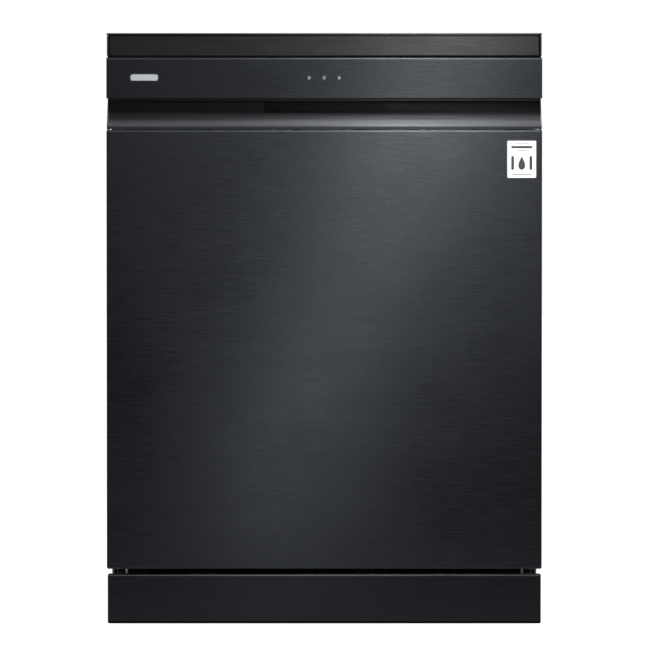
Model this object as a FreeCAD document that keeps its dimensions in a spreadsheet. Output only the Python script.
"""A 60 cm under-counter dishwasher: cabinet, stainless tub, drop-down door, racks and wash system.

Row frame, in millimetres: +Z up, the front faces -Y, +X is to the right of a person who faces the front.
The origin is on the floor at the middle of the footprint. The door hangs on two pins near its lower edge.
Every sub-part is an object of one document, sized by expressions on the sheet of driving dimensions.
"""

import FreeCAD, Part
import math
import os

import Sketcher
from FreeCAD import Placement, Rotation, Vector

DRIVING = (
    ("overall_width", 598, "worktop, door and plinth"),
    ("overall_depth", 600, "door skin to the back of the worktop"),
    ("overall_height", 820, "floor to worktop, feet wound in"),
    ("worktop_height", 31.3, "visible edge of the worktop"),
    ("door_gap", 2.2, "worktop to the top of the door"),
    ("fascia_height", 56.2, "metal strip above the finger pocket"),
    ("pocket_height", 42.7, "full-width finger pocket"),
    ("door_bottom", 84.1, "lower edge of the door skin above the floor"),
    ("door_thickness", 54, "door skin to the back of the inner door"),
    ("plinth_gap", 6.7, "door skin to plinth"),
    ("plinth_bottom", 8.7, "plinth above the floor"),
    ("hinge_setback", 24, "hinge axis behind the door skin"),
    ("hinge_rise", 19.9, "hinge axis above the door's lower edge"),
    ("cabinet_width", 590, "over the side panels"),
    ("sheet_metal", 1.0, "sheet thickness"),
    ("tub_width", 560, "outside the tub"),
    ("tub_setback", 61, "front plane to the tub's front flange"),
    ("tub_depth", 501, "flange to the back of the tub"),
    ("tub_floor", 137, "underside of the tub's floor ledge"),
    ("tub_height", 622, "outside the tub"),
    ("base_bottom", 14, "underside of the base tray"),
    ("base_height", 60, "side walls of the base tray"),
    ("foot_spacing_x", 500, "between the left and right feet"),
    ("foot_front", -177, "front feet, from the middle"),
    ("foot_rear", 255, "rear feet, from the middle"),
    ("rim_wire", 5, "diameter of the racks' frame wire"),
    ("mesh_wire", 3.4, "diameter of the racks' mesh wire"),
    ("rack_front", -222, "front wire of each rack"),
    ("rack_back", 236, "back wire of each rack"),
    ("lower_rack_z", 167, "floor wire of the lower rack"),
    ("upper_rack_z", 432, "floor wire of the upper rack"),
    ("cutlery_rack_z", 674, "floor wire of the cutlery rack"),
    ("arm_centre_y", 12, "axis of the spray arms"),
)

doc = FreeCAD.newDocument("dishwasher")
sheet = doc.addObject("Spreadsheet::Sheet", "dims")


class Size:
    """A length that knows its value now and the expression that gives it from the sheet."""

    def __init__(self, text, value):
        self.text, self.value = text, float(value)

    def __add__(self, other):
        other = as_size(other)
        return Size(f"({self.text} + {other.text})", self.value + other.value)

    def __sub__(self, other):
        other = as_size(other)
        return Size(f"({self.text} - {other.text})", self.value - other.value)

    def __mul__(self, factor):
        return Size(f"({self.text} * {factor})", self.value * factor)

    def __truediv__(self, divisor):
        return Size(f"({self.text} / {divisor})", self.value / divisor)

    def __neg__(self):
        return Size(f"(-{self.text})", -self.value)

    def __radd__(self, other):
        return as_size(other) + self

    def __rsub__(self, other):
        return as_size(other) - self

    __rmul__ = __mul__


def as_size(length):
    return length if isinstance(length, Size) else Size(f"({float(length)})", length)


def value(length):
    return as_size(length).value


class Driving:
    """The sheet's cells, by alias."""


dim = Driving()
for row, (alias, millimetres, note) in enumerate(DRIVING, start=1):
    sheet.set(f"A{row}", alias)
    sheet.set(f"B{row}", str(millimetres))
    sheet.set(f"C{row}", note)
    sheet.setAlias(f"B{row}", alias)
    setattr(dim, alias, Size(f"dims.{alias}", millimetres))
doc.recompute()

# Planes and lines that many sub-parts share.
HALF_WIDTH = dim.overall_width / 2
FRONT = -dim.overall_depth / 2
BACK = dim.overall_depth / 2
WORKTOP_BASE = dim.overall_height - dim.worktop_height
FASCIA_TOP = WORKTOP_BASE - dim.door_gap
FASCIA_BASE = FASCIA_TOP - dim.fascia_height
SKIN_TOP = FASCIA_BASE - dim.pocket_height
INNER_DOOR = FRONT + dim.door_thickness
HINGE_Y = FRONT + dim.hinge_setback
HINGE_Z = dim.door_bottom + dim.hinge_rise
SIDE = dim.cabinet_width / 2
TUB_SIDE = dim.tub_width / 2
TUB_FRONT = FRONT + dim.tub_setback
TUB_BACK = TUB_FRONT + dim.tub_depth
TUB_TOP = dim.tub_floor + dim.tub_height
FLOOR = dim.tub_floor + dim.sheet_metal
WELL_FLOOR = dim.tub_floor - 24
BASE_SIDE = TUB_SIDE + 2
SUMP_X, SUMP_Y, SUMP_RADIUS = 30, -20, 110
FILTER_X, FILTER_Y, FILTER_RADIUS = 62, -52, 34
PUMP_Y, PUMP_Z = -20, 70
CAP_X, CAP_Y = -222, 150
RUNNING = 0.06

NODES = []


# ---------------------------------------------------------------- helpers


def bind(thing, name, length):
    """Gives a property its size, through the sheet where the size depends on it."""
    length = as_size(length)
    if "dims." in length.text:
        thing.setExpression(name, length.text)
    elif "." not in name:
        setattr(thing, name, length.value)


def place(thing, at, rotation=None):
    """Sets a Placement and binds its three coordinates to the sheet."""
    corner = [as_size(c) for c in at]
    turn = rotation or Rotation()
    thing.Placement = Placement(Vector(*[c.value for c in corner]), turn)
    for name, length in zip("xyz", corner):
        bind(thing, f"Placement.Base.{name}", length)


def node(label, thing):
    """Names a finished sub-part. The label is also its file's name."""
    doc.recompute()
    thing.Label = label
    NODES.append(thing)
    return thing


def block(x, y, z):
    box = doc.addObject("Part::Box", "block")
    for name, (low, high) in (("Length", x), ("Width", y), ("Height", z)):
        bind(box, name, as_size(high) - low)
    place(box, (x[0], y[0], z[0]))
    return box


AXES = {
    "x": Rotation(Vector(0, 1, 0), 90),
    "y": Rotation(Vector(1, 0, 0), -90),
    "z": Rotation(),
}


def rod(axis, at, radius, length):
    """A cylinder that runs from at along +axis."""
    cylinder = doc.addObject("Part::Cylinder", "rod")
    bind(cylinder, "Radius", radius)
    bind(cylinder, "Height", length)
    place(cylinder, at, AXES[axis])
    return cylinder


def join(*things):
    fused = doc.addObject("Part::MultiFuse", "join")
    fused.Shapes = list(things)
    fused.Refine = True
    return fused


def cut(base, *tools):
    pocket = doc.addObject("Part::Cut", "cut")
    pocket.Base = base
    pocket.Tool = join(*tools) if len(tools) > 1 else tools[0]
    pocket.Refine = True
    return pocket


def group(*things):
    """Several separate solids that share one node."""
    compound = doc.addObject("Part::Compound", "group")
    compound.Links = list(things)
    return compound


def mirrored(thing):
    """The same sub-part on the other side of the middle plane."""
    other = doc.addObject("Part::Mirroring", "mirrored")
    other.Source = thing
    other.Normal = (1, 0, 0)
    other.Base = (0, 0, 0)
    return other


def pair(thing):
    return group(thing, mirrored(thing))


def along(axis):
    """Chooses straight edges that run along an axis."""

    def choose(edge):
        if edge.Curve.TypeId != "Part::GeomLine":
            return False
        return abs(abs(getattr(edge.Curve.Direction, axis)) - 1) < 1e-6

    return choose


def rounded(base, radius, *choosers):
    """Rounds every edge of base that all the choosers accept."""
    doc.recompute()
    fillet = doc.addObject("Part::Fillet", "rounded")
    fillet.Base = base
    edges = enumerate(base.Shape.Edges, start=1)
    chosen = [i for i, edge in edges if all(choose(edge) for choose in choosers)]
    fillet.Edges = [(i, value(radius), value(radius)) for i in chosen]
    return fillet


def middle(axis, low, high):
    """Chooses edges whose middle lies between two coordinates."""

    def choose(edge):
        at = getattr(edge.CenterOfMass, axis)
        return value(low) - 1e-3 <= at <= value(high) + 1e-3

    return choose


PLANES = {
    # plane: (axis of the pad, reversed, local u and v in the row frame)
    "yz": ("x", False),
    "xz": ("y", True),
    "xy": ("z", False),
}


def sketch_on(body, plane, points):
    """A closed outline on one of the body's own origin planes, each corner bound to the sheet."""
    role = plane.upper() + "_Plane"
    origin = [f for f in body.Origin.OriginFeatures if f.Role == role][0]
    sketch = body.newObject("Sketcher::SketchObject", "outline")
    sketch.AttachmentSupport = [(origin, "")]
    sketch.MapMode = "FlatFace"
    corners = [(as_size(p[0]), as_size(p[1])) for p in points]
    count = len(corners)
    for i, (u, v) in enumerate(corners):
        nu, nv = corners[(i + 1) % count]
        start, end = Vector(u.value, v.value, 0), Vector(nu.value, nv.value, 0)
        sketch.addGeometry(Part.LineSegment(start, end), False)
    for i in range(count):
        sketch.addConstraint(Sketcher.Constraint("Coincident", i, 2, (i + 1) % count, 1))
    for i, corner in enumerate(corners):
        for kind, length in zip(("DistanceX", "DistanceY"), corner):
            at = sketch.addConstraint(Sketcher.Constraint(kind, -1, 1, i, 1, length.value))
            if "dims." in length.text:
                sketch.setExpression(f"Constraints[{at}]", length.text)
    doc.recompute()
    return sketch


def extruded(plane, points, start, end):
    """A body padded from a closed outline. A point (u, v, radius) rounds that corner."""
    axis, backwards = PLANES[plane]
    body = doc.addObject("PartDesign::Body", "extruded")
    sketch = sketch_on(body, plane, points)
    pad = body.newObject("PartDesign::Pad", "pad")
    pad.Profile = sketch
    pad.Reversed = backwards
    bind(pad, "Length", as_size(end) - start)
    doc.recompute()
    u_axis, v_axis = plane
    tip = pad
    for radius in sorted({p[2] for p in points if len(p) > 2}, reverse=True):
        wanted = [(value(p[0]), value(p[1])) for p in points if len(p) > 2 and p[2] == radius]
        names = []
        for i, edge in enumerate(tip.Shape.Edges, start=1):
            centre = edge.CenterOfMass
            here = (getattr(centre, u_axis), getattr(centre, v_axis))
            near = any(math.dist(here, w) < 1e-4 for w in wanted)
            if near and along(axis)(edge):
                names.append(f"Edge{i}")
        fillet = body.newObject("PartDesign::Fillet", "corner")
        fillet.Base = (tip, names)
        fillet.Radius = radius
        doc.recompute()
        tip = fillet
    origin = {"x": (start, 0, 0), "y": (0, start, 0), "z": (0, 0, start)}[axis]
    place(body, origin)
    return body


def turned(points, at, axis="z"):
    """A body of revolution from (radius, height) points, stood at a place along an axis."""
    body = doc.addObject("PartDesign::Body", "turned")
    sketch = sketch_on(body, "xz", points)
    spin = body.newObject("PartDesign::Revolution", "revolution")
    spin.Profile = sketch
    spin.ReferenceAxis = (sketch, ["V_Axis"])
    spin.Angle = 360
    doc.recompute()
    place(body, at, AXES[axis])
    return body


def fixed_shape(shape, name="shape"):
    """A feature whose shape comes from Part's own functions."""
    feature = doc.addObject("Part::Feature", name)
    feature.Shape = shape
    return feature


def wire(points, diameter, bend=0, closed=False):
    """A round wire along a route, with tangent bends at its corners, as one solid."""
    route = [Vector(*[value(c) for c in p]) for p in points]
    radius, count = diameter / 2, len(route)
    pieces, leaves = [], {}
    for i, corner in enumerate(route):
        if not closed and i in (0, count - 1):
            leaves[i] = (corner, corner)
            continue
        inward = (corner - route[i - 1]).normalize()
        outward = (route[(i + 1) % count] - corner).normalize()
        turn = inward.getAngle(outward)
        reach = bend * math.tan(turn / 2)
        enter, leave = corner - inward * reach, corner + outward * reach
        axis = inward.cross(outward).normalize()
        centre = enter + axis.cross(inward) * bend
        disc = Part.Face(Part.Wire(Part.makeCircle(radius, enter, inward)))
        pieces.append(disc.revolve(centre, axis, math.degrees(turn)))
        leaves[i] = (enter, leave)
    for i in range(count if closed else count - 1):
        start, end = leaves[i][1], leaves[(i + 1) % count][0]
        pieces.append(Part.makeCylinder(radius, (end - start).Length, start, end - start))
    return fuse_all(pieces)


def bar(start, end, diameter):
    """One straight wire."""
    start = Vector(*[value(c) for c in start])
    end = Vector(*[value(c) for c in end])
    return Part.makeCylinder(diameter / 2, (end - start).Length, start, end - start)


def fuse_all(pieces):
    whole = pieces[0].multiFuse(pieces[1:]) if len(pieces) > 1 else pieces[0]
    return whole.removeSplitter()


def spread(low, high, count):
    """Evenly spaced places, both ends included."""
    low, high = value(low), value(high)
    return [low + (high - low) * i / (count - 1) for i in range(count)]


def frustum(low_x, low_y, low_z, high_x, high_y, high_z):
    """A tapered box between two level rectangles."""
    rings = []
    for xs, ys, z in ((low_x, low_y, low_z), (high_x, high_y, high_z)):
        x0, x1, y0, y1 = [value(c) for c in (*xs, *ys)]
        corners = [(x0, y0), (x1, y0), (x1, y1), (x0, y1), (x0, y0)]
        rings.append(Part.makePolygon([Vector(x, y, value(z)) for x, y in corners]))
    return Part.makeLoft(rings, True, True)


# ---------------------------------------------------------------- cabinet


def worktop():
    """A thin top sheet over a moulded frame, with a fine groove between the two."""
    sheet_base = dim.overall_height - 2.4
    groove = 1.4
    plate = block((-HALF_WIDTH, HALF_WIDTH), (FRONT + 2, BACK), (sheet_base, dim.overall_height))
    plate = rounded(plate, 5, along("z"))
    near_top = middle("z", dim.overall_height, dim.overall_height)
    node("worktop_panel", rounded(plate, 1.1, near_top))
    frame_top = sheet_base - groove
    half = HALF_WIDTH - 0.4
    outer = block((-half, half), (FRONT + 2.4, BACK - 0.4), (WORKTOP_BASE, frame_top))
    outer = rounded(outer, 4.6, along("z"))
    wall = 5
    hollow = block(
        (wall - half, half - wall),
        (FRONT + 2.4 + wall, BACK - 0.4 - wall),
        (WORKTOP_BASE, frame_top - 4),
    )
    inset = 3
    core = block(
        (inset - half, half - inset), (FRONT + 2.4 + inset, BACK - 0.4 - inset), (frame_top, sheet_base)
    )
    low_edge = middle("z", WORKTOP_BASE, WORKTOP_BASE)
    ribs = [
        block((x, x + 3), (FRONT + 2.4 + wall, BACK - 0.4 - wall), (WORKTOP_BASE + 8, frame_top))
        for x in (-150, -3, 147)
    ]
    shell = cut(rounded(outer, 1.2, low_edge), hollow)
    node("worktop_frame", join(shell, core, *ribs))


def side_panels():
    """Folded steel sides with a flange front and back, the front one notched for the spring links."""
    thick = 0.9
    front = TUB_FRONT + 1.1
    back = BACK - 4
    inner = SIDE - 12
    outline = [
        (inner, front),
        (SIDE, front, 2.5),
        (SIDE, back, 2.5),
        (SIDE - 14, back),
        (SIDE - 14, back - thick),
        (SIDE - thick, back - thick, 1.6),
        (SIDE - thick, front + thick, 1.6),
        (inner, front + thick),
    ]
    right = extruded("xy", outline, 24, WORKTOP_BASE - 0.2)
    notch = block((inner - 1, SIDE - 3), (front - 1, front + 8), (20, 131))
    right = cut(right, notch)
    node("side_panel_right", right)
    node("side_panel_left", mirrored(right))


def rear_panel():
    """Steel back with pressed ribs. It ends above the service connections in the base."""
    face = BACK - 3.9
    panel = block((7 - SIDE, SIDE - 7), (face, face + 0.9), (128, WORKTOP_BASE - 4))
    ribs = []
    for x in spread(-190, 190, 5):
        rib = block((x - 14, x + 14), (face, face + 3.2), (180, 720))
        ribs.append(rounded(rib, 2.4, middle("y", face + 3.2, face + 3.2)))
    hollows = [
        block((x - 12.6, x + 12.6), (face, face + 2.2), (181.4, 718.6))
        for x in spread(-190, 190, 5)
    ]
    node("rear_panel", cut(join(panel, *ribs), *hollows))


FOOT_BORE = 5 + RUNNING
FOOT_NAMES = {
    "foot_front_left": (-1, "foot_front"),
    "foot_front_right": (1, "foot_front"),
    "foot_rear_left": (-1, "foot_rear"),
    "foot_rear_right": (1, "foot_rear"),
}


def foot_places():
    for label, (side, row) in FOOT_NAMES.items():
        yield label, dim.foot_spacing_x / 2 * side, getattr(dim, row)


def base_tray():
    """Moulded drip tray that carries the tub, the pumps and the four foot bosses."""
    low = dim.base_bottom
    high = low + dim.base_height
    front, back, wall = FRONT + 32, BACK - 12.5, 3.5
    shell = rounded(block((-BASE_SIDE, BASE_SIDE), (front, back), (low, high)), 6, along("z"))
    inside = block((wall - BASE_SIDE, BASE_SIDE - wall), (front + wall, back - wall), (low + 3, high + 1))
    rear_wall = block((-200, 240), (back - wall, back), (low, 118))
    posts = [
        block((side - 14, side + 14), (y - 14, y + 14), (low, dim.tub_floor - 0.2))
        for side in (-258, 258)
        for y in (-180, 215)
    ]
    bosses, bores = [], []
    for _, x, y in foot_places():
        bosses.append(rod("z", (x, y, low), 13, 50))
        bores.append(rod("z", (x, y, low - 1), FOOT_BORE, 52))
    ports = [
        rod("y", (205, back - 6, 78), 12, 8),
        rod("y", (-150, back - 6, 92), 8.5, 8),
        rod("y", (-60, back - 6, 92), 7, 8),
    ]
    clips = [block((x - 9, x + 9), (FRONT + 8, front), (30, 56)) for x in (-190, 190)]
    tray = join(cut(shell, inside), rear_wall, *posts, *bosses, *clips)
    node("base_tray", cut(tray, *bores, *ports))


def plinth():
    """Folded kick plate with a rounded, returned edge all round."""
    half = HALF_WIDTH - 1
    low, high = dim.plinth_bottom, dim.door_bottom - dim.plinth_gap
    face = FRONT + 3
    outer = block((-half, half), (face, face + 5), (low, high))
    outer = rounded(outer, 2.6, along("y"))
    outer = rounded(outer, 2.0, middle("y", face, face))
    hollow = rounded(
        block((1.2 - half, half - 1.2), (face + 1.2, face + 6), (low + 1.2, high - 1.2)), 1.4, along("y")
    )
    node("kick_plate", cut(outer, hollow))


def feet():
    """Levelling feet: a pad on a threaded stem that winds in and out of the base tray."""
    profile = [(0, 0), (16, 0), (17, 1.5), (17, 6), (9, 10), (9, 12.5), (5, 12.5), (5, 62), (0, 62)]
    for label, x, y in foot_places():
        node(label, turned(profile, (x, y, 0)))


def tub_well():
    """The sloping part of the tub's floor, outside and inside."""
    outside = frustum(
        (-136, 160), (-142, 150), WELL_FLOOR, (-190, 206), (-186, 201), dim.tub_floor + 0.5
    )
    inside = frustum(
        (-135, 159), (-141, 149), WELL_FLOOR + 1, (-189, 205), (-185, 200), FLOOR + 0.5
    )
    return fixed_shape(outside), fixed_shape(inside)


def tub_opening(front, back):
    """The clear inside of the tub as a rounded bar from front to back."""
    wall = dim.sheet_metal
    inside = block((wall - TUB_SIDE, TUB_SIDE - wall), (front, back), (FLOOR, TUB_TOP - wall))
    return rounded(inside, 21, along("y"))


def tub():
    """Stainless wash tub, open at the front, with a flange round its mouth and a sump well in its floor."""
    wall = dim.sheet_metal
    outer = block((-TUB_SIDE, TUB_SIDE), (TUB_FRONT, TUB_BACK), (dim.tub_floor, TUB_TOP))
    outer = rounded(outer, 22, along("y"))
    flange = block(
        (-TUB_SIDE - 12, TUB_SIDE + 12), (TUB_FRONT, TUB_FRONT + wall), (dim.tub_floor - 5, TUB_TOP + 12)
    )
    flange = rounded(flange, 8, along("y"))
    well_out, well_in = tub_well()
    body = join(outer, flange, well_out)
    holes = [
        tub_opening(TUB_FRONT - 1, TUB_BACK - wall),
        well_in,
        rod("z", (SUMP_X, SUMP_Y, WELL_FLOOR - 1), SUMP_RADIUS, 4),
        rod("z", (CAP_X, CAP_Y, dim.tub_floor - 1), 23.5, 4),
    ]
    node("tub", cut(body, *holes))


def tub_gasket():
    """Rubber seal down both sides and across the top of the tub's mouth."""
    outer, inner, top = TUB_SIDE + 10, TUB_SIDE + 1.5, TUB_TOP + 10
    foot = dim.tub_floor + 6
    outline = [
        (-outer, foot),
        (-outer, top, 18),
        (outer, top, 18),
        (outer, foot),
        (inner, foot),
        (inner, top - 8.5, 9.5),
        (-inner, top - 8.5, 9.5),
        (-inner, foot),
    ]
    seal = extruded("xz", outline, INNER_DOOR + 0.3, TUB_FRONT - 0.1)
    groove = extruded(
        "xz",
        [
            (-outer + 3, foot - 1),
            (-outer + 3, top - 3, 15),
            (outer - 3, top - 3, 15),
            (outer - 3, foot - 1),
            (inner + 2.6, foot - 1),
            (inner + 2.6, top - 5.9, 12),
            (-inner - 2.6, top - 5.9, 12),
            (-inner - 2.6, foot - 1),
        ],
        INNER_DOOR + 2.2,
        INNER_DOOR + 4.4,
    )
    node("tub_gasket", cut(seal, groove))


STRIKE_Z = 776


def top_brace():
    """Folded cross rail over the tub's mouth, and the door strike with its window for the hook."""
    front = TUB_FRONT + 2.2
    rail = block((14 - SIDE, SIDE - 14), (front, front + 34), (TUB_TOP + 0.6, WORKTOP_BASE - 0.4))
    channel = block(
        (15.2 - SIDE, SIDE - 15.2), (front + 1.2, front + 35), (TUB_TOP + 1.8, WORKTOP_BASE - 1.6)
    )
    low, high = STRIKE_Z, STRIKE_Z + 2
    tongue = rounded(
        block((-9, 9), (INNER_DOOR - 17, front), (low, high)), 3, along("z"), middle("y", -300, -262)
    )
    foot = block((-22, 22), (front - 2, front), (low - 2.5, high + 5))
    window = block((-5, 5), (INNER_DOOR - 14, INNER_DOOR - 7), (low - 1, high + 1))
    strike = cut(join(tongue, foot), window)
    node("top_brace", group(cut(rail, channel), strike))


def hinge_brackets():
    """Steel brackets on the base, each with the pin that a door arm turns on."""
    inner, outer = TUB_SIDE - 7, TUB_SIDE - 3.6
    rest = TUB_FRONT + 1
    outline = [
        (HINGE_Y - 9, HINGE_Z - 9, 8),
        (rest, HINGE_Z - 9, 4),
        (rest, dim.base_bottom + 16),
        (rest + 42, dim.base_bottom + 16),
        (rest + 42, HINGE_Z + 4, 10),
        (rest, HINGE_Z + 8, 4),
        (HINGE_Y - 9, HINGE_Z + 8, 8),
    ]
    plate = extruded("yz", outline, inner, outer)
    pin = rod("x", (outer - 1, HINGE_Y, HINGE_Z), 4, 8.6)
    node("hinge_brackets", pair(join(plate, pin)))


LINK_X, LINK_Y, LINK_Z = 288, -254, 90


def door_springs():
    """Counterbalance springs beside the base, each with a wire link hooked on a door arm."""
    start, length = -150, 200
    coil = Part.makeHelix(6, length, 4.2)
    ring = Part.Wire(Part.makeCircle(0.9, Vector(4.2, 0, 0), Vector(0, 1, 0)))
    spring = Part.Wire(coil).makePipeShell([ring], True, True)
    spring.Placement = Placement(Vector(LINK_X, start, 56), Rotation(Vector(1, 0, 0), -90))
    eye = Part.makeTorus(3.4, 1.0, Vector(LINK_X, LINK_Y, LINK_Z), Vector(1, 0, 0))
    link = wire(
        [(LINK_X, LINK_Y + 3.4, LINK_Z - 0.5), (LINK_X, start - 30, 60), (LINK_X, start - 1, 56)], 2, 30
    )
    anchor = bar((LINK_X, start + length + 1, 56), (LINK_X, start + length + 30, 56), 2)
    parts = [fixed_shape(s) for s in (spring, eye.fuse(link).removeSplitter(), anchor)]
    node("door_springs", pair(group(*parts)))


# ---------------------------------------------------------------- wash system


def sump():
    """Moulded sump bowl under the well, with stubs for both pumps and the lowest spray arm's hub."""
    floor_z = 50
    rim = WELL_FLOOR - 0.2
    outer = turned(
        [(0, floor_z), (SUMP_RADIUS - 26, floor_z), (SUMP_RADIUS + 4, floor_z + 34),
         (SUMP_RADIUS + 4, rim - 3),
         (SUMP_RADIUS + 14, rim - 3), (SUMP_RADIUS + 14, rim), (SUMP_RADIUS - 1, rim),
         (SUMP_RADIUS + 1, floor_z + 35), (SUMP_RADIUS - 27, floor_z + 3), (0, floor_z + 3)],
        (SUMP_X, SUMP_Y, 0),
    )
    wash_stub = rod("x", (-106, PUMP_Y, PUMP_Z), 15, 40)
    drain_stub = rod("x", (118, PUMP_Y, PUMP_Z), 15, 34)
    bores = [rod("x", (-107, PUMP_Y, PUMP_Z), 12.5, 60), rod("x", (100, PUMP_Y, PUMP_Z), 12.5, 60)]
    inside = turned(
        [(0, floor_z + 3), (SUMP_RADIUS - 27, floor_z + 3), (SUMP_RADIUS + 1, floor_z + 35),
         (SUMP_RADIUS - 1, rim + 1), (0, rim + 1)],
        (SUMP_X, SUMP_Y, 0),
    )
    seat = rod("z", (FILTER_X, FILTER_Y, floor_z + 1), FILTER_RADIUS - 8, 6)
    bowl = cut(join(outer, cut(join(wash_stub, drain_stub), inside)), *bores)
    hub = turned(
        [(0, floor_z + 1), (12, floor_z + 1), (12, 139), (9, 139), (9, 153), (0, 153)],
        (0, dim.arm_centre_y, 0),
    )
    node("sump", join(bowl, seat, hub))


def wash_pump():
    """Direct-drive circulation pump: volute and motor can in one line."""
    end, length = -246, 139
    profile = [(0, 0), (34, 0), (36, 3), (36, 66), (40, 70), (40, 106), (30, 112), (16, 114), (16, length),
               (12, length), (12, 106), (33, 102), (33, 74), (25, 70), (25, 4), (0, 4)]
    housing = turned(profile, (end, PUMP_Y, PUMP_Z), "x")
    sides, thickness = (PUMP_Y - 41, PUMP_Y + 41), (PUMP_Z - 2, PUMP_Z + 2)
    fins = [block((end + 8 + 9 * i, end + 10 + 9 * i), sides, thickness) for i in range(6)]
    core = rod("x", (end, PUMP_Y, PUMP_Z), 35, 70)
    node("wash_pump", join(housing, cut(join(*fins), core)))


def pump_rotor():
    """Rotor, shaft and impeller of the circulation pump."""
    at = -240
    profile = [
        (0, 0),
        (4, 0),
        (4, 8),
        (22, 8),
        (22, 56),
        (6, 56),
        (6, 70),
        (29, 72),
        (29, 75),
        (12, 82),
        (8, 92),
        (0, 92),
    ]
    hub = turned(profile, (at, PUMP_Y, PUMP_Z), "x")
    vanes = []
    for i in range(5):
        vane = Part.makeBox(9, 20, 1.6, Vector(74, 9, -0.8))
        vane.rotate(Vector(0, 0, 0), Vector(1, 0, 0), 72 * i)
        vane.translate(Vector(at, PUMP_Y, PUMP_Z))
        vanes.append(fixed_shape(vane))
    node("pump_rotor", join(hub, *vanes))


def drain_pump():
    """Small drain pump on the sump's right side, with its outlet stub."""
    at = 152
    profile = [(0, 0), (16, 0), (30, 6), (30, 26), (24, 28), (24, 66), (8, 70), (0, 70)]
    body = turned(profile, (at, PUMP_Y, PUMP_Z), "x")
    outlet = rod("y", (at + 16, PUMP_Y + 10, PUMP_Z + 14), 9, 46)
    node("drain_pump", join(body, outlet))


def filters():
    """Fine filter plate over the sump, and the coarse filter cylinder that twists out of it."""
    base = WELL_FLOOR + dim.sheet_metal
    plate = rod("z", (SUMP_X, SUMP_Y, base + 0.1), SUMP_RADIUS + 6, 1.2)
    rim = cut(
        rod("z", (SUMP_X, SUMP_Y, base + 0.1), SUMP_RADIUS + 6, 3),
        rod("z", (SUMP_X, SUMP_Y, base), SUMP_RADIUS, 5),
    )
    collar = rod("z", (FILTER_X, FILTER_Y, base + 0.1), FILTER_RADIUS + 6, 6)
    holes = [rod("z", (FILTER_X, FILTER_Y, base - 1), FILTER_RADIUS + 0.5, 10)]
    holes.append(rod("z", (0, dim.arm_centre_y, base - 1), 17, 10))
    node("filter_plate", cut(join(plate, rim, collar), *holes))
    low, high = 57.4, 123
    cylinder = turned(
        [(0, low), (FILTER_RADIUS - 3, low), (FILTER_RADIUS - 3, high - 6), (FILTER_RADIUS, high - 6),
         (FILTER_RADIUS, high), (FILTER_RADIUS - 6, high), (FILTER_RADIUS - 6, low + 2), (0, low + 2)],
        (FILTER_X, FILTER_Y, 0),
    )
    windows = []
    for i in range(12):
        slot = Part.makeBox(12, 7, high - low - 22, Vector(FILTER_RADIUS - 12, -3.5, low + 6))
        slot.rotate(Vector(0, 0, 0), Vector(0, 0, 1), 30 * i)
        slot.translate(Vector(FILTER_X, FILTER_Y, 0))
        windows.append(fixed_shape(slot))
    grip = block((FILTER_X - 3, FILTER_X + 3), (FILTER_Y - 28.5, FILTER_Y + 28.5), (high - 8, high + 13))
    grip = rounded(grip, 5, along("x"), middle("z", high + 13, high + 13))
    node("filter_cylinder", join(cut(cylinder, *windows), grip))


def softener():
    """Water softener tank, with the screw cap that opens into the tub's floor."""
    tank = rounded(block((-264, -150), (64, 196), (18, 100)), 12, along("z"))
    neck = rod("z", (CAP_X, CAP_Y, 99), 23, FLOOR - 99 + 2)
    bore = rod("z", (CAP_X, CAP_Y, 90), 17, 60)
    node("softener_tank", cut(join(tank, neck), bore))
    low = FLOOR + 2.3
    cap = turned([(0, low), (25, low), (25, low + 7), (23, low + 9), (0, low + 9)], (CAP_X, CAP_Y, 0))
    plug = rod("z", (CAP_X, CAP_Y, FLOOR - 22), 16.5, 26)
    grip = rounded(
        block((CAP_X - 14, CAP_X + 14), (CAP_Y - 3, CAP_Y + 3), (low + 8, low + 15)), 2, along("y")
    )
    node("salt_cap", join(cap, plug, grip))


def services():
    """What a plumber and an electrician reach from behind: inlet valve, drain spigot and mains gland."""
    wall = BACK - 12.5
    nose = rod("y", (205, wall - 4, 78), 11.9, 5)
    thread = rod("y", (205, wall, 78), 13.2, 12.5)
    flange = rod("y", (205, wall - 5.5, 78), 19, 2)
    coil = rounded(block((186, 224), (wall - 48, wall - 5), (60, 100)), 4, along("y"))
    bore = rod("y", (205, wall - 10, 78), 9, 24)
    node("inlet_valve", cut(join(nose, thread, flange, coil), bore))
    pipe = rod("y", (-150, wall - 40, 92), 8.4, 52.5)
    barb = turned([(8, 0), (9.5, 0), (9.5, 11), (8, 12.5)], (-150, wall, 92), "y")
    collar = rod("y", (-150, wall - 8, 92), 14, 4)
    node("drain_spigot", cut(join(pipe, barb, collar), rod("y", (-150, wall - 41, 92), 6.5, 60)))
    gland = rod("y", (-60, wall - 12, 92), 6.9, 12.2)
    nut = turned([(4, 0), (10.5, 0), (10.5, 7), (7.5, 12.5), (4, 12.5)], (-60, wall, 92), "y")
    box = rounded(block((-88, -32), (wall - 44, wall - 4), (72, 112)), 3, along("y"))
    gland = join(gland, nut, cut(box, block((-85, -35), (wall - 41, wall - 7), (75, 109))))
    node("mains_inlet", cut(gland, rod("y", (-60, wall - 20, 92), 4.5, 40)))


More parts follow.
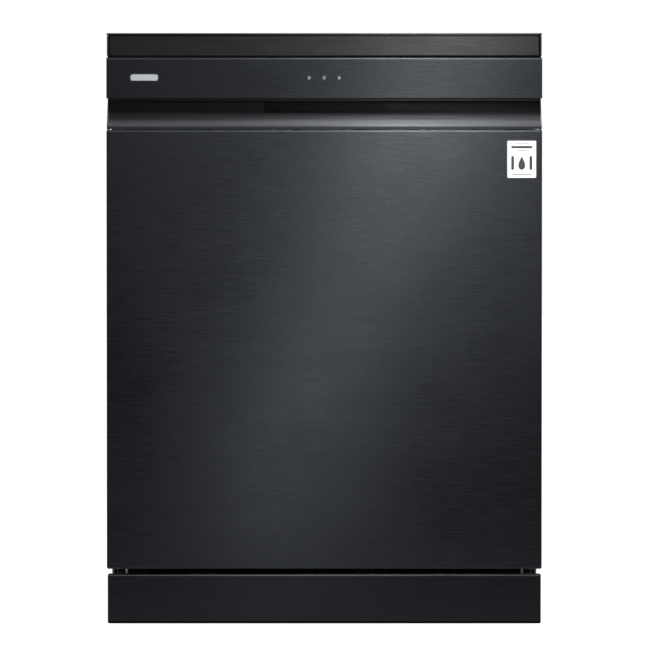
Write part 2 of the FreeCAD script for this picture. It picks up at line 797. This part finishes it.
def feed_duct():
    """Fixed water duct up the back of the tub and along its ceiling to the top spray arm."""
    back = TUB_BACK - dim.sheet_metal - 0.3
    ceiling = TUB_TOP - dim.sheet_metal - 0.3
    riser = rounded(
        block((-24, 24), (back - 18, back), (142, ceiling)),
        8,
        along("z"),
        middle("y", back - 18, back - 18),
    )
    branch = block((-15, 15), (dim.arm_centre_y - 16, back - 4), (ceiling - 13, ceiling))
    branch = rounded(branch, 5, along("y"), middle("z", ceiling - 13, ceiling - 13))
    spigot = rod("z", (0, dim.arm_centre_y, ceiling - 30), 7, 20)
    port = rounded(
        block((-19, 19), (back - 28.4, back - 10), (dim.upper_rack_z - 17, dim.upper_rack_z - 4)),
        4,
        along("y"),
    )
    foot = rounded(block((-30, 30), (back - 22, back), (FLOOR + 0.3, 150)), 5, along("z"))
    node("feed_duct", join(riser, branch, spigot, port, foot))


def arm_blade(reach, root, tip, low, high, angle, centre_y):
    """One blade of a spray arm: a tapered bar with a rounded tip."""
    outline = [Vector(0, -root, 0), Vector(reach - tip, -tip, 0)]
    lines = [Part.LineSegment(*outline).toShape()]
    lines.append(
        Part.Arc(Vector(reach - tip, -tip, 0), Vector(reach, 0, 0), Vector(reach - tip, tip, 0)).toShape()
    )
    lines.append(Part.LineSegment(Vector(reach - tip, tip, 0), Vector(0, root, 0)).toShape())
    lines.append(Part.LineSegment(Vector(0, root, 0), Vector(0, -root, 0)).toShape())
    blade = Part.Face(Part.Wire(lines)).extrude(Vector(0, 0, high - low))
    upper = [e for e in blade.Edges if e.CenterOfMass.z > high - low - 1e-3 and e.CenterOfMass.x > 1]
    blade = blade.makeFillet(2.5, upper)
    blade.rotate(Vector(0, 0, 0), Vector(0, 0, 1), angle)
    blade.translate(Vector(0, centre_y, low))
    return blade


def spray_arm(label, reaches, root, tip, low, high, hub_radius, bore_from, bore_to):
    """A spray arm with blades at even angles, jets along the top of each blade, and a blind hub bore."""
    centre_y = value(dim.arm_centre_y)
    blades, jets = [], []
    for i, reach in enumerate(reaches):
        angle = 360 * i / len(reaches) + 24
        blades.append(arm_blade(reach, root, tip, low, high, angle, centre_y))
        for j, distance in enumerate(spread(42, reach - 14, max(3, int(reach / 38)))):
            jet = Part.makeCylinder(1.6, 3, Vector(distance, 3 * (-1) ** j, high - 2))
            jet.rotate(Vector(0, 0, 0), Vector(0, 0, 1), angle)
            jet.translate(Vector(0, centre_y, 0))
            jets.append(jet)
    hub = Part.makeCylinder(hub_radius, high - low + 4, Vector(0, centre_y, low - 1))
    whole = fuse_all([hub, *blades])
    bore = Part.makeCylinder(bore_to[1], bore_to[0] - bore_from, Vector(0, centre_y, bore_from))
    whole = whole.cut(Part.makeCompound(jets)).cut(bore).removeSplitter()
    return node(label, fixed_shape(whole))


def wash_arms():
    """The three spray arms."""
    spray_arm("lower_spray_arm", (225, 150, 225, 150), 21, 10, 142, 156, 25, 140, (153.5, 9 + RUNNING))
    spray_arm("upper_spray_arm", (205, 205), 19, 9, 398, 409, 20, 397, (420, 9 + RUNNING))
    spray_arm("top_spray_arm", (135, 135), 15, 8, 728, 738, 17, 726, (745, 7 + RUNNING))


# ---------------------------------------------------------------- door


def door_skin():
    """Brushed outer skin, folded round on all four sides."""
    half, deep, thick = HALF_WIDTH, 37, 1.0
    outer = block((-half, half), (FRONT, FRONT + deep), (dim.door_bottom, SKIN_TOP))
    outer = rounded(outer, 2.6, along("y"))
    outer = rounded(outer, 2.0, middle("y", FRONT, FRONT))
    inside = block(
        (thick - half, half - thick),
        (FRONT + thick, FRONT + deep + 1),
        (dim.door_bottom + thick, SKIN_TOP - thick),
    )
    inside = rounded(inside, 1.6, along("y"))
    relief = block(
        (3 - half, half - 3), (FRONT + 11, FRONT + deep + 1), (dim.door_bottom - 1, dim.door_bottom + 3)
    )
    sides = [
        block((x, x + 34), (FRONT + 6, FRONT + deep + 1), (dim.door_bottom - 1, dim.door_bottom + 3))
        for x in (-296, 262)
    ]
    node("door_skin", cut(outer, inside, relief, *sides))


def door_liner():
    """Stainless inner door: a shallow pan with a raised field and an opening for the dispenser."""
    half, low, high = HALF_WIDTH - 7, HINGE_Z + 12, FASCIA_TOP - 1.5
    thick = 0.9
    pan = rounded(block((-half, half), (INNER_DOOR - 16, INNER_DOOR), (low, high)), 5, along("y"))
    hollow = rounded(
        block(
            (thick - half, half - thick), (INNER_DOOR - 17, INNER_DOOR - thick), (low + thick, high - thick)
        ),
        4.1,
        along("y"),
    )
    field_half, rise = 235, 6
    field = block((-field_half, field_half), (INNER_DOOR - thick, INNER_DOOR + rise), (150, 712))
    field = rounded(rounded(field, 16, along("y")), 2.5, middle("y", INNER_DOOR + rise, INNER_DOOR + rise))
    dent = block(
        (thick - field_half, field_half - thick),
        (INNER_DOOR - 2, INNER_DOOR + rise - thick),
        (150.9, 711.1),
    )
    dent = rounded(dent, 15, along("y"))
    mouth = block(DISPENSER_X, (INNER_DOOR - 5, INNER_DOOR + 10), DISPENSER_Z)
    slot = block((-26, 26), (INNER_DOOR - 20, INNER_DOOR + 2), (STRIKE_Z - 6, high + 2))
    node("door_liner", cut(join(cut(pan, hollow), field), dent, mouth, slot))


LED_X, LED_Z = (-20.6, 0, 20.6), 758.7


def led_holes(radius):
    return [rod("y", (x, FRONT - 1, LED_Z), radius, 8) for x in LED_X]


def fascia():
    """Metal strip over the control housing, folded back along its top edge."""
    thick = 1.4
    outline = [
        (FRONT, FASCIA_BASE, 0.8),
        (FRONT, FASCIA_TOP, 1.8),
        (FRONT + 7, FASCIA_TOP),
        (FRONT + 7, FASCIA_TOP - 1.2),
        (FRONT + thick, FASCIA_TOP - 1.2),
        (FRONT + thick, FASCIA_BASE),
    ]
    strip = extruded("yz", outline, -HALF_WIDTH, HALF_WIDTH)
    node("control_fascia", cut(strip, *led_holes(2.0)))
    lights = [rod("y", (x, FRONT, LED_Z), 1.9, 9) for x in LED_X]
    node("indicator_lights", group(*lights))


BUTTONS = {
    # node: (centre, half length)
    "button_power": (-236, 14),
    "button_program": (-120, 11),
    "button_delay": (120, 11),
    "button_start": (236, 14),
}
BUTTON_Y = (-283, -267)


def control_housing():
    """Moulded housing behind the fascia, with wells for the buttons in its upper face."""
    half, wall = HALF_WIDTH - 2, 2.2
    front, back = FRONT + 1.5, INNER_DOOR - 17
    low, high = FASCIA_BASE + 0.3, FASCIA_TOP - 1.3
    outer = block((-half, half), (front, back), (low, high))
    inside = block((wall - half, half - wall), (front + wall, back + 1), (low + wall, high - wall))
    cup_space = block((-CUP_HALF - 0.2, CUP_HALF + 0.2), (CUP_FRONT - 0.2, back + 1), (low - 1, low + 4))
    wells = [
        block((x - h - 0.4, x + h + 0.4), (BUTTON_Y[0] - 0.4, BUTTON_Y[1] + 0.4), (high - 4, high + 1))
        for x, h in BUTTONS.values()
    ]
    node("control_housing", cut(outer, inside, cup_space, *wells, *led_holes(2.0)))
    for label, (x, half_length) in BUTTONS.items():
        key = rounded(
            block((x - half_length, x + half_length), BUTTON_Y, (high - 5, high + 1.1)), 2.5, along("z")
        )
        key = rounded(key, 0.6, middle("z", high + 1.1, high + 1.1))
        node(label, key)


def control_board():
    """Circuit board and its two tall components, on pillars under the keys."""
    high = FASCIA_TOP - 14
    board = block((-250, -92), (FRONT + 8, INNER_DOOR - 22), (high - 1.6, high))
    parts = [
        block((-230, -205), (-288, -272), (high - 18, high - 1.6)),
        block((-170, -130), (-286, -274), (high - 12, high - 1.6)),
    ]
    pillars = [rod("z", (x, -280, high), 2.5, 6) for x in (-244, -98)]
    node("control_board", join(board, *parts, *pillars))


CUP_HALF, CUP_FRONT, CUP_BACK, CUP_FLOOR, CUP_TOP = 83 + 2, -294, -254, 709.5, 754
POCKET_WALL = 2.5


def handle_pocket():
    """Full-width finger pocket: a coved moulding with end cheeks and a deep cup in the middle."""
    lip_y = FRONT + 0.8
    wall_y = -266
    ceiling = FASCIA_BASE - 0.2
    lip_z = SKIN_TOP + 0.8
    outline = [
        (FRONT + 1.8, ceiling),
        (FRONT + 1.8, ceiling - POCKET_WALL),
        (wall_y, ceiling - POCKET_WALL, 4),
        (wall_y, 708, 20),
        (lip_y, lip_z + 5.6, 5.0),
        (lip_y, lip_z),
        (lip_y + POCKET_WALL, lip_z),
        (lip_y + POCKET_WALL, lip_z + 4.1),
        (wall_y + POCKET_WALL, 706.4, 22),
        (wall_y + POCKET_WALL, ceiling, 6),
    ]
    half = HALF_WIDTH - 2
    cove = extruded("yz", outline, -half, half)
    cheek_outline = [
        (lip_y, lip_z),
        (lip_y, lip_z + 5.6, 5),
        (FRONT + 24, ceiling - 6, 10),
        (FRONT + 24, ceiling),
        (wall_y + POCKET_WALL, ceiling),
        (wall_y + POCKET_WALL, lip_z),
    ]
    cheek = extruded("yz", cheek_outline, half - 0.5, HALF_WIDTH - 0.5)
    cup = block((-CUP_HALF, CUP_HALF), (CUP_FRONT, CUP_BACK), (CUP_FLOOR, CUP_TOP))
    cup = rounded(cup, 4, along("x"), middle("z", CUP_TOP, CUP_TOP))
    cup_inside = block(
        (2 - CUP_HALF, CUP_HALF - 2), (CUP_FRONT + 2, CUP_BACK - 2), (CUP_FLOOR + 2, CUP_TOP - 2)
    )
    cup_inside = rounded(cup_inside, 3, along("x"), middle("z", CUP_TOP - 2, CUP_TOP - 2))
    open_front = block((-CUP_HALF - 1, CUP_HALF + 1), (FRONT - 5, wall_y), (700, ceiling - POCKET_WALL))
    whole = join(cove, cheek, mirrored(cheek), cut(cup, open_front))
    node("handle_pocket", cut(whole, cup_inside))


def latch():
    """Latch case in the top of the door, with the hook that rises into the strike's window."""
    low, high = 756.5, FASCIA_TOP - 4.2
    case = block((-27, 27), (FRONT + 12, INNER_DOOR - 1.4), (low, high))
    space = block((-12, 12), (INNER_DOOR - 38, INNER_DOOR), (low + 2, high + 1))
    pins = [rod("x", (x, -277, 765), 2, 4) for x in (-12.5, 8.5)]
    node("latch_case", join(cut(case, space), *pins))
    outline = [
        (-282, 760, 2),
        (-258.6, 764, 2),
        (-254.4, 768),
        (-254.4, 774.6, 1),
        (-258, 774.6, 1),
        (-259.6, 769.6, 1),
        (-282, 770, 3),
    ]
    hook = extruded("yz", outline, -4.5, 4.5)
    arms = rod("x", (-8.2, -277, 765), 4.4, 16.4)
    node("latch_hook", cut(join(hook, arms), rod("x", (-9, -277, 765), 2 + RUNNING, 18)))


DISPENSER_X, DISPENSER_Z = (-92, 84), (362, 482)


def dispenser():
    """Detergent dispenser in the inner door: cup with a sliding lid, and a rinse-aid tank."""
    face = INNER_DOOR + 7.2
    body = rounded(block((-91.7, 83.7), (INNER_DOOR - 36, face), (362.3, 481.7)), 6, along("y"))
    flange = rounded(block((-156, 90), (INNER_DOOR + 6.1, face), (356, 488)), 10, along("y"))
    cup = rounded(block((-80, -16), (INNER_DOOR - 30, face + 1), (376, 468)), 10, along("y"))
    tank = block((4, 76), (INNER_DOOR - 33, face - 3), (370, 474))
    filler = rod("y", (40, face - 8, 430), 12, 10)
    rails = [block((-150, -8), (face - 0.5, face + 2.8), (z, z + 2.4)) for z in (369, 472.6)]
    node("dispenser_body", join(cut(join(body, flange), cup, tank, filler), *rails))
    lid = rounded(block((-85.6, -10.4), (face + 0.3, face + 2.6), (372, 472)), 3, along("y"))
    ribs = [block((-64, -32), (face + 2, face + 3.6), (z, z + 3)) for z in (404, 412, 420)]
    node("dispenser_lid", join(lid, *ribs))
    cap = turned([(0, 0), (16, 0), (16, 2.2), (14.5, 3.4), (0, 3.4)], (40, face + 0.2, 430), "y")
    plug = rod("y", (40, face - 6, 430), 11.8, 7)
    grip = block((37.6, 42.4), (face + 3, face + 5), (418, 442))
    node("rinse_aid_cap", join(cap, plug, grip))


def door_seal():
    """Rubber strip across the foot of the inner door."""
    outline = [
        (INNER_DOOR, HINGE_Z + 17),
        (INNER_DOOR, HINGE_Z + 33),
        (INNER_DOOR + 3, HINGE_Z + 33, 1),
        (TUB_FRONT - 0.5, HINGE_Z + 29.5, 1),
        (INNER_DOOR + 2.5, HINGE_Z + 26, 1),
        (INNER_DOOR + 2.5, HINGE_Z + 17),
    ]
    node("door_bottom_seal", extruded("yz", outline, -255, 255))


def door_arms():
    """Steel arms screwed into the door's sides: they turn on the bracket pins and pull the spring links."""
    inner, outer = TUB_SIDE + 0.4, TUB_SIDE + 3.4
    outline = [
        (HINGE_Y - 10, HINGE_Z - 9, 6),
        (LINK_Y, LINK_Z - 6, 5),
        (LINK_Y + 6, LINK_Z + 2, 4),
        (HINGE_Y + 11, HINGE_Z + 6, 3),
        (HINGE_Y + 11, 300, 4),
        (HINGE_Y - 10, 300, 4),
    ]
    arm = extruded("yz", outline, inner, outer)
    stud = rod("x", (outer - 1, LINK_Y, LINK_Z), 2.2, 7)
    bore = rod("x", (inner - 1, HINGE_Y, HINGE_Z), 4 + RUNNING, 6)
    node("door_arms", pair(cut(join(arm, stud), bore)))


# ---------------------------------------------------------------- racks


RIM, MESH = value(dim.rim_wire), value(dim.mesh_wire)
COMB = MESH + 0.6


def floor_grille(half, z, along_count, across_count, bend=22):
    """A rack's floor: a closed rim wire with mesh wires both ways, welded into one piece."""
    front, back = value(dim.rack_front), value(dim.rack_back)
    z = value(z)
    rim = wire(
        [(-half, front, z), (half, front, z), (half, back, z), (-half, back, z)], RIM, bend, closed=True
    )
    pieces = [rim]
    for x in spread(-half, half, along_count + 2)[1:-1]:
        pieces.append(bar((x, front, z + 0.4), (x, back, z + 0.4), MESH))
    for y in spread(front, back, across_count + 2)[1:-1]:
        pieces.append(bar((-half, y, z - 1.6), (half, y, z - 1.6), MESH))
    return fuse_all(pieces)


def wall_grille(start, end, low, high, count):
    """One upright side of a rack: a lower and an upper rail with bars between them."""
    (x0, y0), (x1, y1) = start, end
    pieces = [bar((x0, y0, low), (x1, y1, low), RIM - 1), bar((x0, y0, high), (x1, y1, high), RIM)]
    for x, y in zip(spread(x0, x1, count), spread(y0, y1, count)):
        pieces.append(bar((x, y, low), (x, y, high), MESH))
    return fuse_all(pieces)


def basket(half, z, high, along_count, across_count):
    """A rack's floor and its four sides, as the separate welded grilles that make it up."""
    front, back = value(dim.rack_front), value(dim.rack_back)
    z, corner = value(z), 14
    low = z + RIM / 2 + (RIM - 1) / 2 + 0.1
    sides = [floor_grille(half, z, along_count, across_count)]
    for y in (front, back):
        sides.append(wall_grille((corner - half, y), (half - corner, y), low, high, 9))
    for x in (-half, half):
        sides.append(wall_grille((x, front + corner), (x, back - corner), low, high, 9))
    return sides, low


def tine_row(x, low, height, count, start, end, lean=0):
    """A comb of plate tines on one base wire."""
    pieces = [bar((x, start, low), (x, end, low), COMB)]
    for y in spread(start + 8, end - 8, count):
        pieces.append(bar((x, y, low), (x + lean, y, low + height), MESH))
    return fuse_all(pieces)


LOWER_HALF, UPPER_HALF, CUTLERY_HALF = 241, 250, 254
WHEEL_RADIUS, WHEEL_Y = 17.5, (-150, 160)
FOLD_X = 120


def lower_rack():
    """Wire rack for plates and pans, on four wheels, with one row of tines that folds down."""
    z = value(dim.lower_rack_z)
    sides, low = basket(LOWER_HALF, z, z + 148, 9, 7)
    row_z = z + 0.4 + (MESH + COMB) / 2 + 0.1
    rows = [tine_row(x, row_z, 66, 13, -212, 226) for x in (-200, -120, -40, 40)]
    wheel_z = value(FLOOR) + WHEEL_RADIUS + 0.3
    axles = []
    for side in (-1, 1):
        for y in WHEEL_Y:
            lug_low, lug_high = wheel_z - 5, z - RIM / 2 - 0.1
            corner = Vector(LOWER_HALF * side - 4, y - 10, lug_low)
            lug = Part.makeBox(8, 20, lug_high - lug_low, corner)
            near, far = (LOWER_HALF * side, y, wheel_z), ((LOWER_HALF + 18.5) * side, y, wheel_z)
            axles.append(lug.fuse(bar(near, far, 7)).removeSplitter())
    feet = []
    for y in (-177.5, 191.5):
        foot = Part.makeBox(7, 12, 9.6, Vector(FOLD_X - 3.5, y - 6, z + 0.4 + MESH / 2))
        feet.append(foot.cut(bar((FOLD_X, y - 7, z + 9), (FOLD_X, y + 7, z + 9), COMB + 2 * RUNNING)))
    node("lower_rack", group(*[fixed_shape(s) for s in (*sides, *rows, *axles, *feet)]))
    comb = tine_row(FOLD_X, z + 9, 66, 12, -204, 218)
    node("folding_tines", fixed_shape(comb))
    for label, y in zip(("wheels_front", "wheels_rear"), WHEEL_Y):
        tread = turned(
            [
                (3.5 + RUNNING, 0),
                (14, 0),
                (15, 1.5),
                (WHEEL_RADIUS, 1.5),
                (WHEEL_RADIUS, 8),
                (3.5 + RUNNING, 8),
            ],
            (LOWER_HALF + 9, y, wheel_z),
            "x",
        )
        node(label, pair(tread))


RAIL_LOW, RAIL_HIGH = 514, 546


def rack_rails():
    """Telescopic rails for the upper rack, and the channels that the cutlery rack slides in."""
    wall_x = TUB_SIDE - dim.sheet_metal
    front, back = TUB_FRONT + 8, TUB_BACK - 26
    outer = block((wall_x - 10, wall_x), (front, back), (RAIL_LOW, RAIL_HIGH))
    space = block((wall_x - 11, wall_x - 1.6), (front - 1, back + 1), (RAIL_LOW + 1.6, RAIL_HIGH - 1.6))
    channel_z = dim.cutlery_rack_z + 20
    channel = block((wall_x - 13, wall_x), (front, back + 8), (channel_z - 8, channel_z + 8))
    groove = block((wall_x - 14, wall_x - 2), (front - 1, back + 9), (channel_z - 5.5, channel_z + 5.5))
    node("rack_rails", pair(group(cut(outer, space), cut(channel, groove))))
    mid_low, mid_high = RAIL_LOW + 2.4, RAIL_HIGH - 2.4
    middle_rail = block((wall_x - 11, wall_x - 2.2), (front, back), (mid_low, mid_high))
    space = block((wall_x - 12, wall_x - 3.7), (front - 1, back + 1), (mid_low + 1.5, mid_high - 1.5))
    node("rail_middles", pair(cut(middle_rail, space)))
    bar_low, bar_high = mid_low + 2.3, mid_high - 2.3
    runner = block((wall_x - 14, wall_x - 4.5), (front, back), (bar_low, bar_high))
    holder = rounded(
        block((UPPER_HALF + 2.8, wall_x - 13), (-70, 90), (bar_low - 14, bar_high + 4)), 5, along("x")
    )
    lever = rounded(
        block((UPPER_HALF + 4, UPPER_HALF + 8), (-40, -8), (bar_low - 24, bar_low)), 3, along("x")
    )
    node("rack_runners", pair(join(runner, holder, lever)))


SHELF_Z, SHELF_HINGE_X = 506, -240


def upper_rack():
    """Wire rack for cups and glasses, with its own spray arm feed and a cup shelf that folds up."""
    z = value(dim.upper_rack_z)
    sides, low = basket(UPPER_HALF, z, z + 110, 9, 6)
    row_z = z + 0.4 + (MESH + COMB) / 2 + 0.1
    rows = [tine_row(x, row_z, 42, 14, -212, 226) for x in (-90, 0, 90, 180)]
    clips = []
    for y in (-118, 134):
        clip = Part.makeBox(10.5, 8, 9, Vector(-UPPER_HALF + RIM / 2 + 0.1, y - 4, SHELF_Z - 4.5))
        clips.append(
            clip.cut(bar((SHELF_HINGE_X, y - 5, SHELF_Z), (SHELF_HINGE_X, y + 5, SHELF_Z), 5 + 2 * RUNNING))
        )
    node("upper_rack", group(*[fixed_shape(s) for s in (*sides, *rows, *clips)]))
    centre_y, back = dim.arm_centre_y, TUB_BACK - 30.4
    duct = rounded(block((-17, 17), (centre_y - 18, back), (z - 15.5, z - 5.5)), 4, along("y"))
    spigot = rod("z", (0, centre_y, z - 32.6), 9, 20)
    collar = rod("z", (0, centre_y, z - 17.5), 16, 8)
    hangers = [block((-20, 20), (y - 4, y + 4), (z - 6, z - 3.6)) for y in (60, 180)]
    node("upper_arm_feed", join(duct, spigot, collar, *hangers))


def cup_shelf():
    """Moulded cup shelf, open between its slats, that swings up about a rod on the rack's left side."""
    reach = 92
    slats = [
        bar((SHELF_HINGE_X, y, SHELF_Z), (SHELF_HINGE_X + reach, y, SHELF_Z), 4)
        for y in spread(-188, 204, 15)
    ]
    edge = wire(
        [(SHELF_HINGE_X, -192, SHELF_Z), (SHELF_HINGE_X + reach, -192, SHELF_Z),
         (SHELF_HINGE_X + reach, 208, SHELF_Z), (SHELF_HINGE_X, 208, SHELF_Z)],
        5, 14, closed=True,
    )
    node("cup_shelf", fixed_shape(fuse_all([edge, *slats])))


def cutlery_rack():
    """Shallow top rack with a close mesh floor, hung in the channels by its side runners."""
    z = value(dim.cutlery_rack_z)
    sides, low = basket(CUTLERY_HALF, z, z + 32, 17, 9)
    runners = []
    for side in (-1, 1):
        near = CUTLERY_HALF + RIM / 2 + 0.1
        runner = Part.makeBox(12.5, 452, 4, Vector(near if side > 0 else -near - 12.5, -220, z + 18))
        runners.append(runner)
    node("cutlery_rack", group(*[fixed_shape(s) for s in (*sides, *runners)]))


# ---------------------------------------------------------------- build and write

BUILDERS = (
    worktop, side_panels, rear_panel, base_tray, plinth, feet, tub, tub_gasket, top_brace,
    hinge_brackets, door_springs, sump, wash_pump, pump_rotor, drain_pump, filters, softener, services,
    feed_duct, wash_arms, door_skin, door_liner, fascia, control_housing, control_board, handle_pocket,
    latch, dispenser, door_seal, door_arms, lower_rack, rack_rails, upper_rack, cup_shelf, cutlery_rack,
)


def check():
    """Stops on any failed object, and on any sub-part that isn't made of valid closed solids."""
    doc.recompute()
    failed = [o.Label for o in doc.Objects if {"Invalid", "Error"} & set(o.State)]
    for thing in NODES:
        shape = thing.Shape
        if shape.isNull() or not shape.isValid() or not shape.Solids:
            failed.append(thing.Label)
    if failed:
        raise RuntimeError(f"these objects failed: {sorted(set(failed))}")


def write():
    os.makedirs("parts", exist_ok=True)
    for thing in NODES:
        thing.Shape.exportStep(f"parts/{thing.Label}.step")


for build in BUILDERS:
    build()
check()
write()
print(len(NODES), "sub-parts written")
